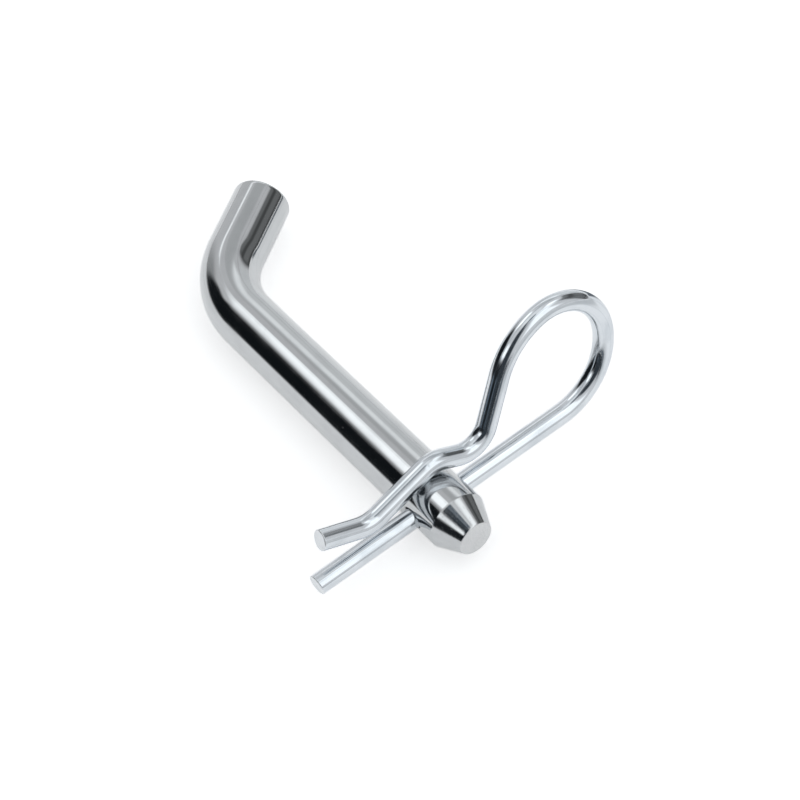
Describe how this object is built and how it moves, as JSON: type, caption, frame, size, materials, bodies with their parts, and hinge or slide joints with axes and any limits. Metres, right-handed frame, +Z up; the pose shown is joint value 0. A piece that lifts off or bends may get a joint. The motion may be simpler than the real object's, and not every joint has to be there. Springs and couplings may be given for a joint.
{
  "type": "hitch pin lock",
  "caption": "Bent steel hitch pin with a tapered nose and a spring wire clip through its cross hole, for locking a ball mount in a trailer receiver.",
  "frame": {"origin": "on the shank's axis, halfway between the end of the bend and the axis of the cross hole", "axes": "+X along the shank towards the nose; +Y along the cross hole towards the clip's loop, and the handle bends to the same side; +Z up, from the clip's leg to its arm, with the pin lying flat on its shank and handle"},
  "size_m": [0.1339, 0.0945, 0.0417],
  "materials": {
    "pin_steel": "polished",
    "clip_wire": "polished"
  },
  "bodies": {
    "pin": {"hitch_pin": "pin_steel"},
    "clip_leg": {"clip_leg": "clip_wire"},
    "clip_loop": {"clip_loop": "clip_wire"},
    "clip_arm": {"clip_arm": "clip_wire"}
  },
  "joints": [
    {"name": "clip_slide", "type": "slide", "parent": "pin", "child": "clip_leg", "axis": [0, 1, 0], "range_m": [0, 0.05]},
    {"name": "clip_swing", "type": "hinge", "parent": "clip_leg", "child": "clip_loop", "pos_m": [0.04, 0.0382, 0], "axis": [0, 1, 0], "range_deg": [0, 20]},
    {"name": "arm_flex", "type": "hinge", "parent": "clip_loop", "child": "clip_arm", "pos_m": [0.03694, 0.0558, 0.01733], "axis": [-0.9848, 0, -0.1736], "range_deg": [0, 12]}
  ],
  "couplings": [
    {"joint": "arm_flex", "follows": "clip_slide", "rad_per_m": 4}
  ]
}
